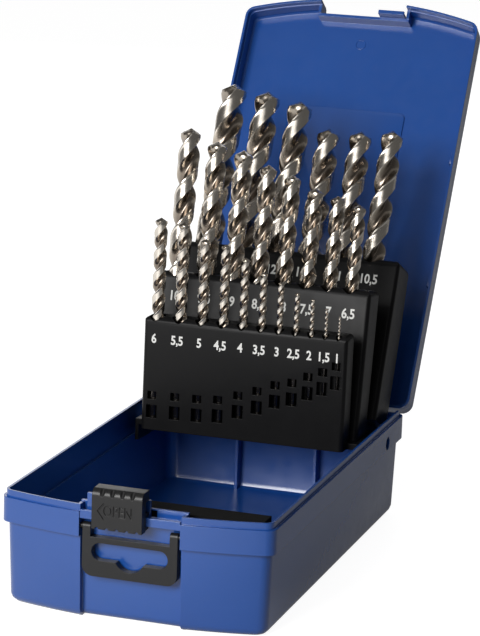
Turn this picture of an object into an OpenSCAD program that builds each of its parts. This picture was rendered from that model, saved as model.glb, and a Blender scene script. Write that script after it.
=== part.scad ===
// Drill bit case: a moulded tray and a hinged lid, three socket blocks that fan
// open with the lid, 25 twist drills, a sliding latch and a fold-out hanger.
// Origin: centre of the tray's underside. +X right, +Y to the hinge side, +Z up.
// The lid and the blocks are drawn open, as they stand in use.

/* [Tray] */
// Width of the tray over its rim band
tray_w = 117; // [114:0.5:128]
// Depth of the tray at its corners
tray_d = 194.4; // [190:0.5:215]
// Height of the ledge that the lid closes on
ledge_z = 45.4; // [45:0.2:50]
// How far the front wall bows out at its middle
bow = 8.5; // [6:0.5:11]
// Height of the thicker band below the ledge
band_h = 10.4; // [8:0.2:13]
// How far the band stands proud of the wall below it
band_proud = 1.9; // [1.2:0.1:2.4]
// Draft of each wall from the band down to the foot
draft = 1; // [0.4:0.1:1.6]
// Thickness of the side walls below the band
wall = 1.5; // [1.2:0.1:1.8]
// Thickness of the floor
floor_t = 2.2; // [1.6:0.1:2.6]
// Radius of the tray's upright corners
corner_r = 5; // [3:0.5:7]
// Height of the lip inside the ledge
lip_h = 2.8; // [2:0.1:3.2]
// Thickness of the lip
lip_t = 1.1; // [0.8:0.1:1.4]
// Width of the ledge outside the lip
ledge_w = 1.24; // [1:0.02:1.5]
// Fillet between the walls and the underside
foot_r = 3.5; // [2:0.5:5]

// Distance of the ribs on the back wall from the middle
rib_x = 19; // [15:0.5:25]
// Thickness of those ribs
rib_t = 1.4; // [1:0.1:2]
// How far those ribs reach in from the back wall
rib_l = 6; // [4:0.5:8]

/* [Latch bay] */
// Width of the bay in the front of the tray and the lid
bay_w = 43; // [40:0.5:46]
// Depth of the bay behind the band's corners
bay_depth = 5.9; // [5.5:0.1:6.5]
// Height of the wall behind the slider
bay_wall_z = 48.7; // [48:0.1:50]
// Height of the rail that the slider runs on
rail_h = 3.5; // [3.2:0.1:4]
// Thickness of the rail's front bar
rail_t = 1.4; // [1.2:0.1:1.6]
// Top of the guide plate inside the slider
guide_z = 52.5; // [51:0.1:54]

/* [Lid] */
// Thickness of the lid's top
lid_top_t = 1.6; // [1.2:0.1:2.2]
// Thickness of the lid's walls
lid_wall = 1.6; // [1.4:0.1:2]
// Angle of the lid between closed and fully open
lid_open = 121.2; // [116:0.2:124]
// Radius of the edge around the lid's top
lid_edge_r = 2; // [1:0.5:3]
// Length of the catch that hangs from the lid's front
catch_l = 4; // [3.6:0.1:4.4]
// Width of the catch
catch_w = 12.8; // [10:0.2:13]
// Height of the bead along the catch's lower edge
catch_bead = 1.1; // [0.8:0.1:1.3]

/* [Hinge] */
// Height of the lid's hinge axis
hinge_z = 44.7; // [44:0.1:46]
// Distance of the hinge axis behind the tray
hinge_back = 2.4; // [2.2:0.1:3]
// Radius of the hinge pins
pin_r = 1.25; // [1:0.05:1.4]
// Outer radius of the hinge knuckles
knuckle_r = 2.3; // [2.2:0.05:2.4]
// Distance from the middle of the case to each hinge
hinge_x = 36; // [30:0.5:40]
// Width of each lid knuckle
lid_knuckle_w = 8; // [6:0.5:10]
// Width of each tray knuckle
tray_knuckle_w = 5; // [4:0.5:6]

/* [Blocks] */
// Thickness of the front block
front_t = 12; // [11:0.2:12.2]
// Thickness of the middle block
middle_t = 16; // [15:0.2:16.2]
// Thickness of the rear block at its foot
rear_t = 22.2; // [21:0.2:23]
// Thickness of the rear block at its top
rear_top_t = 18.6; // [18:0.2:20]
// Gap between the front and middle blocks when the case is closed
front_gap = 0.6; // [0.4:0.1:1]
// Gap between the middle and rear blocks when the case is closed
rear_gap = 0.4; // [0.4:0.1:0.8]
// Gap under the front block when the case is closed
lie_gap = 1.1; // [0.8:0.1:1.4]
// Room between the front block and each side wall of the tray
front_side = 7.9; // [7.8:0.1:8.6]
// Room between the middle block and each side wall
middle_side = 5.1; // [5.1:0.1:5.6]
// Room between the rear block and each side wall
rear_side = 2.4; // [2.4:0.1:3.1]
// Height of the front block's top above the pivot
front_top_u = 54; // [50:0.5:56]
// Height of the middle block's top above the pivot
middle_top_u = 68; // [62:0.5:70]
// Height of the rear block's top above the pivot
rear_top_u = 83; // [78:0.5:85]
// Lean of the front block when open
front_lean = 2; // [0:0.2:4]
// Lean of the middle block when open
middle_lean = 11.4; // [10:0.2:13]
// Lean of the rear block when open
rear_lean = 24.8; // [23:0.2:25]
// Height of the pivot that the three blocks share
pivot_z = 38.5; // [38.5:0.1:39]
// Distance of the pivot in front of the tray's back
pivot_in = 28.4; // [27:0.2:30]
// Radius of the pivot pins
pivot_r = 2.95; // [2.5:0.05:3]
// Radial clearance of the blocks on the pivot pins
pivot_clear = 0.06; // [0.04:0.01:0.08]
// Radius of the blocks' arms and bosses around the pivot
arm_r = 5; // [4.4:0.1:5]
// Thickness of the arms that carry the front and middle blocks
arm_t = 1.6; // [1.4:0.1:1.6]
// Radius of the rounding along the blocks' upper edges
block_edge_r = 3.5; // [2:0.5:4]
// Radius of the upper corners at the blocks' ends
block_end_r = 3; // [2:0.5:5]
// Radius of the blocks' upright corners
block_corner_r = 2; // [1.5:0.5:3]

/* [Sockets] */
// Last pitch of the front row as a part of its first
front_taper = 0.56; // [0.5:0.02:0.7]
// Last pitch of the middle row as a part of its first
middle_taper = 0.76; // [0.7:0.02:0.9]
// Last pitch of the rear row as a part of its first
rear_taper = 0.88; // [0.8:0.02:1]
// Plastic between the front face and each socket
socket_wall = 1; // [0.9:0.1:1.1]
// Radial clearance of the drills in their sockets
socket_clear = 0.15; // [0.1:0.05:0.25]
// Radial room around the drills at each socket's mouth
mouth_room = 0.8; // [0.5:0.1:0.9]
// Depth of the wider mouths
mouth_h = 5; // [3:0.5:6]
// Margins of the front row: block end to its first and last drill
front_margins = [5, 4.4]; // [4.2:0.1:6]
// Margins of the middle row
middle_margins = [7.4, 10.1]; // [7:0.1:11]
// Margins of the rear row
rear_margins = [10.9, 14.5]; // [10:0.1:16]
// Heights of the front row's socket floors above the pivot
front_floors = [5, 4, 4.5, 9, 9, 8.5, 14, 14, 20, 25.5, 28.5]; // [4:0.1:30]
// Heights of the middle row's socket floors above the pivot
middle_floors = [0, 3, 0, 2.5, -1, 2, -0.5, 4.5]; // [-1:0.1:6]
// Heights of the rear row's socket floors above the pivot
rear_floors = [10.5, 8, 4.5, 1.5, 1.5, 12]; // [1.5:0.1:14]
// Heights of the lower edges of the front row's windows
window_floors = [7.7, 8, 8.2, 9, 12, 15, 18.6, 20.5, 24, 26.8, 30]; // [7:0.1:32]
// Width of each lower window
window_low_w = 5; // [4:0.1:5.2]
// Width of each upper window
window_high_w = 4.2; // [3.4:0.1:4.6]
// Height of each lower window
window_low_h = 6; // [5:0.1:7]
// Height of each upper window
window_high_h = 3.6; // [3:0.1:4.2]
// Bar between the two windows
window_bar = 2.6; // [2:0.1:3]

/* [Drills] */
// Diameters of the front row
front_d = [6, 5.5, 5, 4.5, 4, 3.5, 3, 2.5, 2, 1.5, 1]; // [1:0.1:6]
// Overall lengths of the front row
front_len = [93, 93, 86, 80, 75, 70, 61, 57, 49, 40, 34]; // [30:1:93]
// Flute lengths of the front row
front_flute = [57, 57, 52, 47, 43, 39, 33, 30, 24, 18, 12]; // [10:1:60]
// Diameters of the middle row
middle_d = [10, 9.5, 9, 8.5, 8, 7.5, 7, 6.5]; // [6:0.1:10]
// Overall lengths of the middle row
middle_len = [133, 125, 125, 117, 117, 109, 109, 101]; // [95:1:134]
// Flute lengths of the middle row
middle_flute = [87, 81, 81, 75, 75, 69, 69, 63]; // [60:1:90]
// Diameters of the rear row
rear_d = [13, 12.5, 12, 11.5, 11, 10.5]; // [10:0.1:13]
// Overall lengths of the rear row
rear_len = [151, 151, 151, 142, 142, 133]; // [130:1:152]
// Flute lengths of the rear row
rear_flute = [101, 101, 101, 94, 94, 87]; // [80:1:104]
// Advance of the flutes in one turn, in diameters
flute_lead = 4.2; // [3.4:0.1:5]
// Web thickness between the flutes, as a part of the diameter
web = 0.32; // [0.28:0.01:0.4]
// Included angle of the drill points
point_angle = 122; // [116:1:136]

/* [Slider] */
// Width of the latch slider
slider_w = 21.4; // [20:0.2:22]
// Top of the slider
slider_top_z = 57; // [56.4:0.1:58]
// Foot of the slider
slider_foot_z = 40.5; // [40.3:0.1:41]
// How far the slider stands in front of the rail
slider_proud = 4.6; // [4.2:0.1:5.4]
// Skin thickness of the slider
slider_t = 1.5; // [1.2:0.1:1.7]
// Radius of the slider's upper front edge
slider_edge_r = 3; // [2:0.5:4]
// Number of finger grooves over the slider's upper edge
groove_count = 4; // [3:1:5]
// Radius of the finger grooves
groove_r = 1.1; // [0.8:0.1:1.3]
// Radius of the scallops along the slider's lower edge
scallop_r = 0.8; // [0.6:0.1:1]
// Gap between the latch parts that slide on each other
latch_gap = 0.25; // [0.2:0.05:0.3]

/* [Hanger] */
// Width of the fold-out hanger
hanger_w = 40.6; // [38:0.2:41]
// Thickness of the hanger
hanger_t = 3.5; // [3:0.1:3.6]
// Height of the hanger's lower edge when it hangs down
hanger_foot_z = 18.9; // [17:0.1:21]
// Height of the hanger's axis
hanger_axis_z = 39.2; // [38.8:0.1:39.4]
// Width of each ear
ear_w = 3.4; // [3:0.1:4]
// Height of the bar between the ears and the hanging slot
crossbar_h = 2.3; // [2:0.1:3]
// Top of that bar
crossbar_z = 35.4; // [35:0.1:35.8]
// Width of the hanging slot
slot_w = 32.6; // [30:0.2:33]
// Height of the hanging slot
slot_h = 7.4; // [6:0.1:7.6]
// Radius of the hook recess in the middle of the slot
hook_r = 6.6; // [5:0.1:7]
// Radius of the hanger's stub pins
hanger_pin_r = 1.2; // [1:0.05:1.3]

/* [Foam] */
// Left end of the foam strip, from the middle of the tray
foam_left = 0.5; // [0:0.5:10]
// Gap between the foam strip and the tray's right wall
foam_side = 3.1; // [3:0.1:8]
// Thickness of the foam strip
foam_t = 12; // [10:0.5:13]
// Height of the foam strip above the floor
foam_h = 44.3; // [40:0.1:45]

/* [Hidden] */
NODES = ["base_tray", "foam_strip", "hinge_pin_left", "hinge_pin_right",
    "pivot_pin_left", "pivot_pin_right",
    "lid_shell", "front_block", "front_arm_left", "front_arm_right",
    "middle_block", "middle_arm_left", "middle_arm_right", "rear_block",
    "latch_slider", "hanger",
    "drill_6_0", "drill_5_5", "drill_5_0", "drill_4_5", "drill_4_0", "drill_3_5",
    "drill_3_0", "drill_2_5", "drill_2_0", "drill_1_5", "drill_1_0",
    "drill_10_0", "drill_9_5", "drill_9_0", "drill_8_5", "drill_8_0", "drill_7_5",
    "drill_7_0", "drill_6_5",
    "drill_13_0", "drill_12_5", "drill_12_0", "drill_11_5", "drill_11_0", "drill_10_5"];
FRONT_NODES = [for (i = [16:26]) NODES[i]];
MIDDLE_NODES = [for (i = [27:34]) NODES[i]];
REAR_NODES = [for (i = [35:40]) NODES[i]];

BLUE = "#23479e";
BLACK = "#2b2b2d";
STEEL = "#b9b3aa";
PAST = 1;
$fn = 48;

half_w = tray_w / 2;
front_y = -tray_d / 2;
back_y = tray_d / 2;
band_z = ledge_z - band_h;
body_w = half_w - band_proud;
lip_out = ledge_w;
upper_in = ledge_w + lip_t;
lower_in = band_proud + wall;

// The three blocks lie in a stack when the case is closed, and the lid clears it.
front_face_z = floor_t + lie_gap;
middle_face_z = front_face_z + front_t + front_gap;
rear_face_z = middle_face_z + middle_t + rear_gap;
lid_gap = 0.9;
lid_in_z = rear_face_z + rear_t + lid_gap;
lid_z = lid_in_z + lid_top_t;
pivot_y = back_y - pivot_in;
front_w = tray_w - 2 * (lower_in + front_side);
middle_w = tray_w - 2 * (lower_in + middle_side);
rear_w = tray_w - 2 * (lower_in + rear_side);
front_face_w = front_face_z - pivot_z;
middle_face_w = middle_face_z - pivot_z;
rear_face_w = rear_face_z - pivot_z;
front_foot_u = 2.3;
middle_foot_u = -2.6;
rear_foot_u = -0.3;
rear_wide_u = 9;
rear_heel_u = [8, 27];
rear_heel_cut = 6;

// Layers beside the blocks, outward from the rear block's narrow foot.
layer_gap = 0.25;
middle_arm_x = middle_w / 2 - arm_t;
rear_foot_x = middle_arm_x - layer_gap;
front_arm_x = middle_w / 2 + 2 * layer_gap;
boss_x = front_arm_x + arm_t + layer_gap;
flange_w = [front_face_w + front_t - 5, front_face_w + front_t - 0.5];
bearing_l = 4;

// Latch bay, from the wall forward.
bay_y = front_y - bow * (1 - pow(bay_w / 2 / half_w, 2)) + bay_depth;
bay_wall_t = 1.5;
bay_panel_y = bay_y - 1.1;
rail_top_z = ledge_z + 0.8;
rail_foot_z = rail_top_z - rail_h;
rail_front_y = bay_y - 5.4;
web_z = [rail_foot_z + 1.2, rail_foot_z + 2.3];
guide_y = [bay_y - 1.8, bay_y - 0.5];
guide_x = [-19.7, 7.3];
slider_x = guide_x[1] - slider_w - 0.5;
slider_front_y = rail_front_y - slider_proud;
slider_back_y = guide_y[0] - latch_gap;
catch_x = [guide_x[1] + 0.8, guide_x[1] + 0.8 + catch_w];
lid_bay_y = [guide_y[1] + latch_gap, guide_y[1] + latch_gap + bay_wall_t];
lid_bay_z = bay_wall_z + 0.5;

hinge_y = back_y + hinge_back;
knuckle_gap = 0.2;
hanger_y = bay_panel_y - 0.4;
hanger_axis_y = hanger_y - hanger_t / 2;
ear_r = hanger_t / 2;

// Outline of the case in plan, drawn in by i: bowed front, rounded corners.
function bow_radius() = (half_w * half_w + bow * bow) / (2 * bow);
function plan(i, r, h = half_w) =
    let (big = bow_radius() - i, yc = front_y - bow + bow_radius(), w = h - i,
         b = asin((w - r) / (big - r)), fy = yc - sqrt(pow(big - r, 2) - pow(w - r, 2)),
         back = back_y - i)
    concat([for (k = [-12:12]) [big * sin(k * b / 12), yc - big * cos(k * b / 12)]],
           [for (k = [1:5]) let (a = -90 + b + k * (90 - b) / 5)
               [w - r + r * cos(a), fy + r * sin(a)]],
           [for (k = [0:6]) [w - r + r * cos(k * 15), back - r + r * sin(k * 15)]],
           [for (k = [6:-1:0]) [-w + r - r * cos(k * 15), back - r + r * sin(k * 15)]],
           [for (k = [5:-1:1]) let (a = -90 + b + k * (90 - b) / 5)
               [-w + r - r * cos(a), fy + r * sin(a)]]);

module slab(i, r, z0, z1) {
    translate([0, 0, z0]) linear_extrude(z1 - z0) polygon(plan(i, r));
}

module box(x, y, z) {
    translate([x[0], y[0], z[0]]) cube([x[1] - x[0], y[1] - y[0], z[1] - z[0]]);
}

module along_x(x, y, z, r) {
    translate([x[0], y, z]) rotate([0, 90, 0]) cylinder(r = r, h = x[1] - x[0]);
}

module both_sides() {
    children();
    mirror([1, 0, 0]) children();
}

// Walls lean in by the draft from the band to the foot.
module body_outer() {
    foot = band_proud + draft;
    thin = 0.01;
    hull() {
        slab(foot + foot_r, corner_r, 0, thin);
        slab(foot + foot_r * 0.5, corner_r, foot_r * 0.134, foot_r * 0.134 + thin);
        slab(foot + foot_r * 0.134, corner_r, foot_r * 0.5, foot_r * 0.5 + thin);
        slab(foot - 0.1, corner_r, foot_r, foot_r + thin);
        slab(band_proud, corner_r, band_z, band_z + thin);
    }
}

module body_inner() {
    foot = lower_in + draft;
    inner_r = 2.5;
    hull() {
        slab(foot + inner_r, corner_r, floor_t, floor_t + 0.01);
        slab(foot + inner_r * 0.3, corner_r, floor_t + inner_r * 0.3, floor_t + inner_r * 0.3 + 0.01);
        slab(foot, corner_r, floor_t + inner_r, floor_t + inner_r + 0.01);
        slab(lower_in, corner_r, band_z - 0.5, band_z + 0.01);
    }
}

module tray_shell() {
    difference() {
        union() {
            body_outer();
            slab(0, corner_r, band_z, ledge_z);
            slab(lip_out, corner_r - lip_out, ledge_z - PAST, ledge_z + lip_h);
        }
        body_inner();
        slab(upper_in, corner_r - upper_in, band_z, ledge_z + lip_h + PAST);
        box([-half_w, half_w], [back_y - 6, back_y + PAST], [ledge_z, ledge_z + lip_h + PAST]);
        box([-bay_w / 2, bay_w / 2], [front_y - bow - PAST, bay_y], [-PAST, ledge_z + lip_h + PAST]);
    }
}

module bay_walls() {
    x = bay_w / 2;
    side_t = 1.4;
    box([-x - side_t, x + side_t], [bay_y, bay_y + bay_wall_t], [band_z, bay_wall_z]);
    hull() {
        box([-x - side_t, x + side_t], [bay_panel_y, bay_y + bay_wall_t], [band_z - 0.4, band_z]);
        box([-x - side_t, x + side_t], [bay_panel_y + draft, bay_y + draft + bay_wall_t], [0, 0.1]);
    }
    box([-x - PAST, x + PAST], [bay_panel_y, bay_y + bay_wall_t], [band_z - 0.4, rail_foot_z - 0.1]);
    both_sides() intersection() {
        box([x, x + side_t], [front_y - bow, bay_y + PAST], [0, ledge_z + lip_h]);
        union() {
            body_outer();
            slab(0, corner_r, band_z, ledge_z);
            slab(lip_out, corner_r - lip_out, ledge_z - PAST, ledge_z + lip_h);
        }
    }
}

module latch_rail() {
    x = bay_w / 2;
    box([-x - 0.5, x + 0.5], [rail_front_y, rail_front_y + rail_t], [rail_foot_z, ledge_z - latch_gap]);
    box([latch_gap - x, x - latch_gap], [rail_front_y, rail_front_y + rail_t],
        [ledge_z - latch_gap - PAST, rail_top_z]);
    box([-x - 0.5, x + 0.5], [rail_front_y + rail_t / 2, bay_y + 0.5], web_z);
    box(guide_x, guide_y, [web_z[0], guide_z]);
    box([guide_x[0], guide_x[1]], [guide_y[1] - 0.1, bay_y + 0.5], [web_z[0], bay_wall_z - 1]);
}

// Two ribs stiffen the wall below the hinge.
module back_ribs() {
    both_sides() box([rib_x - rib_t / 2, rib_x + rib_t / 2], [back_y - lower_in - rib_l, back_y - lower_in + 0.5],
        [floor_t - 0.5, band_z]);
}

module tray_hinge() {
    both_sides() for (s = [-1, 1]) {
        x = hinge_x + s * (lid_knuckle_w / 2 + knuckle_gap + tray_knuckle_w / 2);
        xs = [x - tray_knuckle_w / 2, x + tray_knuckle_w / 2];
        along_x(xs, hinge_y, hinge_z, knuckle_r);
        box(xs, [back_y - 0.5, hinge_y], [hinge_z - knuckle_r, hinge_z]);
    }
}

module pivot_boss() {
    both_sides() along_x([boss_x, half_w - band_proud], pivot_y, pivot_z, arm_r);
}

module pivot_holes() {
    both_sides() along_x([rear_foot_x, half_w + PAST], pivot_y, pivot_z, pivot_r + 0.02);
}

// Cutter that rounds the foot of the wall behind the latch.
module bay_foot() {
    y = bay_panel_y + draft * (1 - foot_r / band_z);
    translate([-bay_w / 2, 0, 0]) rotate([90, 0, 90]) linear_extrude(bay_w) difference() {
        translate([y - PAST, -PAST]) square(foot_r + PAST);
        translate([y + foot_r, foot_r]) circle(r = foot_r);
    }
}

module base_tray() {
    color(BLUE) difference() {
        union() {
            tray_shell();
            bay_walls();
            latch_rail();
            tray_hinge();
            back_ribs();
            pivot_boss();
        }
        pivot_holes();
        bay_foot();
        along_x([-half_w, half_w], hinge_y, hinge_z, pin_r + 0.02);
        along_x([-bay_w / 2 - 1.2, bay_w / 2 + 1.2], hanger_axis_y, hanger_axis_z, hanger_pin_r + 0.06);
        box([guide_x[1] - 1.5, guide_x[1] + 2.3], [bay_y - 0.3, bay_y + 3], [web_z[1], bay_wall_z - 0.6]);
    }
}

// Each pin stops short of the tray's outer face and ends in the rear block.
module pivot_pin(side) {
    color(BLACK) mirror([side < 0 ? 1 : 0, 0, 0])
        along_x([rear_foot_x - bearing_l + 0.4, half_w - 1.4], pivot_y, pivot_z, pivot_r);
}

module pivot_pin_left() pivot_pin(-1);
module pivot_pin_right() pivot_pin(1);

module foam_strip() {
    y = front_y + 3.7;
    color(BLACK) box([foam_left, half_w - lower_in - foam_side], [y, y + foam_t], [floor_t, floor_t + foam_h]);
}

module hinge_pin(side) {
    reach = lid_knuckle_w / 2 + knuckle_gap + tray_knuckle_w;
    color(STEEL) along_x([side * hinge_x - reach, side * hinge_x + reach], hinge_y, hinge_z, pin_r);
}

module hinge_pin_left() hinge_pin(-1);
module hinge_pin_right() hinge_pin(1);

// The lid is drawn closed, then swung open about the hinge.
module lid_outer() {
    hull() {
        slab(0, corner_r, ledge_z, ledge_z + 0.01);
        slab(draft * 0.3, corner_r, lid_z - lid_edge_r, lid_z - lid_edge_r + 0.01);
        slab(draft * 0.3 + lid_edge_r * 0.3, corner_r, lid_z - lid_edge_r * 0.3, lid_z - lid_edge_r * 0.3 + 0.01);
        slab(draft * 0.3 + lid_edge_r, corner_r, lid_z - 0.01, lid_z);
    }
}

module lid_inner() {
    step = lid_wall + draft * 0.3;
    hull() {
        slab(lid_wall, corner_r - lid_wall, ledge_z - PAST, ledge_z);
        slab(step, corner_r - lid_wall, lid_in_z - 1, lid_in_z - 0.9);
        slab(step + 0.8, corner_r - lid_wall, lid_in_z - 0.01, lid_in_z);
    }
}

// Cheeks beside the bay, cut free of the tray's lip with the rest of the rim.
module lid_cheeks() {
    x = bay_w / 2;
    t = 1.4;
    both_sides() intersection() {
        box([x, x + t], [front_y - bow, lid_bay_y[1] - 0.1], [ledge_z, lid_z - 0.3]);
        lid_outer();
    }
}

module lid_bay_wall() {
    x = bay_w / 2 + 1.4;
    box([-x, x], lid_bay_y, [lid_bay_z, lid_z - 0.6]);
}

module lid_catch() {
    foot = lid_bay_z - catch_l;
    box(catch_x, [guide_y[0], lid_bay_y[1] - 0.2], [lid_bay_z + 0.2, lid_bay_z + 2]);
    box(catch_x, guide_y, [foot, lid_bay_z + 1]);
    box(catch_x, [guide_y[0] - 0.6, guide_y[0] + 0.2], [foot, foot + catch_bead]);
}

module lid_hinge() {
    back = hinge_y + knuckle_r - 0.3;
    strap_t = 1.8;
    strap_z = 4.4;
    both_sides() {
        xs = [hinge_x - lid_knuckle_w / 2, hinge_x + lid_knuckle_w / 2];
        along_x(xs, hinge_y, hinge_z, knuckle_r);
        box(xs, [hinge_y - 0.2, back], [hinge_z, hinge_z + strap_z]);
        box(xs, [back_y - 0.8, back], [hinge_z + strap_z - strap_t, hinge_z + strap_z]);
    }
}

module lid_closed() {
    lip_room = lip_out - 0.12;
    difference() {
        union() {
            difference() {
                union() {
                    difference() {
                        lid_outer();
                        lid_inner();
                        box([-bay_w / 2, bay_w / 2], [front_y - bow - PAST, lid_bay_y[0]], [0, lid_z + PAST]);
                    }
                    lid_cheeks();
                }
                slab(lip_room, corner_r - lip_room, ledge_z - PAST, ledge_z + lip_h + 0.2);
                box([-bay_w / 2 - 1.5, bay_w / 2 + 1.5],
                    [bay_y - latch_gap, bay_y + bay_wall_t + latch_gap], [ledge_z - PAST, lid_bay_z]);
            }
            lid_bay_wall();
            lid_catch();
            lid_hinge();
        }
        along_x([-half_w, half_w], hinge_y, hinge_z, pin_r + 0.05);
    }
}

module lid_shell() {
    color(BLUE) translate([0, hinge_y, hinge_z]) rotate([-lid_open, 0, 0])
        translate([0, -hinge_y, -hinge_z]) lid_closed();
}

// A block's own frame: origin at its pivot, Y through its thickness, Z along the drills.
module at_pivot(lean) {
    translate([0, pivot_y, pivot_z]) rotate([-lean, 0, 0]) children();
}

// Places along a row: pitches shrink evenly with the drills.
function row_x(w, margins, n, i, q) =
    let (p = (w - margins[0] - margins[1]) / ((n - 1) * (1 + q) / 2))
    -w / 2 + margins[0] + p * (i - i * (i - 1) / 2 * (1 - q) / (n - 2));
function front_x(i) = row_x(front_w, front_margins, len(front_d), i, front_taper);
function middle_x(i) = row_x(middle_w, middle_margins, len(middle_d), i, middle_taper);
function rear_x(i) = row_x(rear_w, rear_margins, len(rear_d), i, rear_taper);
function socket_y(face_w, d) = face_w + socket_wall + socket_clear + d / 2;

function arc(cy, cz, r, a0, a1) = [for (k = [0:6]) let (a = a0 + (a1 - a0) * k / 6)
    [cy + r * cos(a), cz + r * sin(a)]];

// Side profile of a block, from its front face back.
function block_profile(face, t_foot, t_top, foot, top, heel) =
    concat([[face, foot]], arc(face + block_edge_r, top - block_edge_r, block_edge_r, 180, 90),
           arc(face + t_top - block_edge_r, top - block_edge_r, block_edge_r, 90, 0),
           heel);

module block_body(w, face, t_foot, t_top, foot, top, heel) {
    intersection() {
        translate([-w / 2, 0, 0]) rotate([90, 0, 90]) linear_extrude(w)
            polygon(block_profile(face, t_foot, t_top, foot, top, heel));
        translate([0, 0, foot - PAST]) linear_extrude(top - foot + 2 * PAST)
            rounded_plan(w, face, t_foot);
        translate([0, face + t_foot + PAST, 0]) rotate([90, 0, 0]) linear_extrude(t_foot + 2 * PAST)
            rounded_top(w, foot, top);
    }
}

module rounded_top(w, foot, top) {
    r = block_end_r;
    for (x = [-w / 2 + r, w / 2 - r]) translate([x, top - r]) circle(r = r);
    translate([-w / 2, foot - PAST]) square([w, top - r - foot + PAST]);
    translate([-w / 2 + r, foot]) square([w - 2 * r, top - foot]);
}

module rounded_plan(w, face, t) {
    r = block_corner_r;
    for (x = [-w / 2 + r, w / 2 - r]) for (y = [face + r, face + t - r])
        translate([x, y]) circle(r = r);
    translate([-w / 2 + r, face]) square([w - 2 * r, t]);
    translate([-w / 2, face + r]) square([w, t - 2 * r]);
}

module sockets(xs, ds, floors, face, top) {
    for (i = [0:len(ds) - 1]) translate([xs[i], socket_y(face, ds[i]), 0]) {
        translate([0, 0, floors[i]]) cylinder(r = ds[i] / 2 + socket_clear, h = top - floors[i] + PAST);
        translate([0, 0, top - mouth_h]) cylinder(r = ds[i] / 2 + mouth_room, h = mouth_h + PAST);
    }
}

module windows() {
    for (i = [0:len(front_d) - 1]) {
        x = front_x(i);
        depth = socket_wall + front_d[i] + 2 * socket_clear + 0.6;
        z1 = window_floors[i] + window_low_h;
        z2 = z1 + window_bar;
        deep = [front_face_w - PAST, front_face_w + depth];
        box([x - window_low_w / 2, x + window_low_w / 2], deep, [window_floors[i], z1]);
        box([x - window_high_w / 2, x + window_high_w / 2], deep, [z2, z2 + window_high_h]);
    }
}

// An arm runs from its block back to the pivot, fitted to the block's corner.
module arm(side, x, w_front, w, face, t) {
    mirror([side < 0 ? 1 : 0, 0, 0]) difference() {
        union() {
            box([x, x + arm_t], [w_front, 0], [-arm_r, arm_r]);
            along_x([x, x + arm_t], 0, 0, arm_r);
            children();
        }
        translate([0, 0, -arm_r - PAST]) linear_extrude(2 * (arm_r + PAST)) rounded_plan(w, face, t);
        pivot_bore();
    }
}

module pivot_bore() {
    both_sides() along_x([rear_foot_x - bearing_l, front_arm_x + arm_t + PAST], 0, 0, pivot_r + pivot_clear);
}

module front_block() {
    color(BLACK) at_pivot(front_lean) difference() {
        block_body(front_w, front_face_w, front_t, front_t, front_foot_u, front_top_u,
            [[front_face_w + front_t, front_foot_u]]);
        sockets([for (i = [0:len(front_d) - 1]) front_x(i)], front_d, front_floors, front_face_w, front_top_u);
        windows();
    }
}

module front_arm(side) {
    color(BLACK) at_pivot(front_lean) arm(side, front_arm_x, flange_w[0], front_w, front_face_w, front_t)
        box([front_w / 2 - block_corner_r, front_arm_x + arm_t], flange_w, [front_foot_u, arm_r]);
}

module front_arm_left() front_arm(-1);
module front_arm_right() front_arm(1);

module middle_block() {
    color(BLACK) at_pivot(middle_lean) difference() {
        block_body(middle_w, middle_face_w, middle_t, middle_t - 0.8, middle_foot_u, middle_top_u,
            [[middle_face_w + middle_t, middle_foot_u]]);
        sockets([for (i = [0:len(middle_d) - 1]) middle_x(i)], middle_d, middle_floors, middle_face_w, middle_top_u);
    }
}

// The arm is cut back below the block's foot.
module middle_arm(side) {
    back_w = middle_face_w + middle_t;
    color(BLACK) at_pivot(middle_lean) difference() {
        arm(side, middle_arm_x, back_w - block_corner_r, middle_w, middle_face_w, middle_t);
        box([-half_w, half_w], [middle_face_w, back_w + 0.5], [-arm_r - PAST, middle_foot_u]);
    }
}

module middle_arm_left() middle_arm(-1);
module middle_arm_right() middle_arm(1);

module rear_block() {
    back_w = rear_face_w + rear_t;
    color(BLACK) at_pivot(rear_lean) difference() {
        union() {
            block_body(rear_w, rear_face_w, rear_t, rear_top_t, rear_foot_u, rear_top_u,
                [[back_w, rear_heel_u[1]], [back_w, rear_heel_u[0]], [back_w - rear_heel_cut, rear_foot_u]]);
            both_sides() along_x([rear_foot_x - bearing_l, rear_foot_x], 0, 0, arm_r);
        }
        both_sides() box([rear_foot_x, half_w], [rear_face_w - PAST, back_w + PAST],
            [rear_foot_u - PAST, rear_wide_u]);
        sockets([for (i = [0:len(rear_d) - 1]) rear_x(i)], rear_d, rear_floors, rear_face_w, rear_top_u);
        pivot_bore();
    }
}

// Half a turn of the two-flute section, radii as parts of the drill's radius.
flute_section = [[-42, 1], [0, 1], [40, 1], [62, 0.5], [90, web], [116, 0.52]];

module drill(d, l, flute) {
    r = d / 2;
    tip_h = r / tan(point_angle / 2);
    turns = flute / (flute_lead * d);
    section = [for (h = [0, 180]) for (p = flute_section)
        0.985 * r * p[1] * [cos(p[0] + h), sin(p[0] + h)]];
    color(STEEL) {
        cylinder(r = r, h = l - flute);
        intersection() {
            translate([0, 0, l - flute - 0.3]) linear_extrude(flute + 0.3, twist = -360 * turns,
                slices = ceil(turns * 9), $fn = 12) polygon(section);
            rotate_extrude() polygon([[0, 0], [r * 1.2, 0], [r * 1.2, l - 1.2 * tip_h], [0, l]]);
        }
    }
}

module row_drill(lean, x, face_w, d, foot, l, flute) {
    at_pivot(lean) translate([x, socket_y(face_w, d), foot]) drill(d, l, flute);
}

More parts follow.
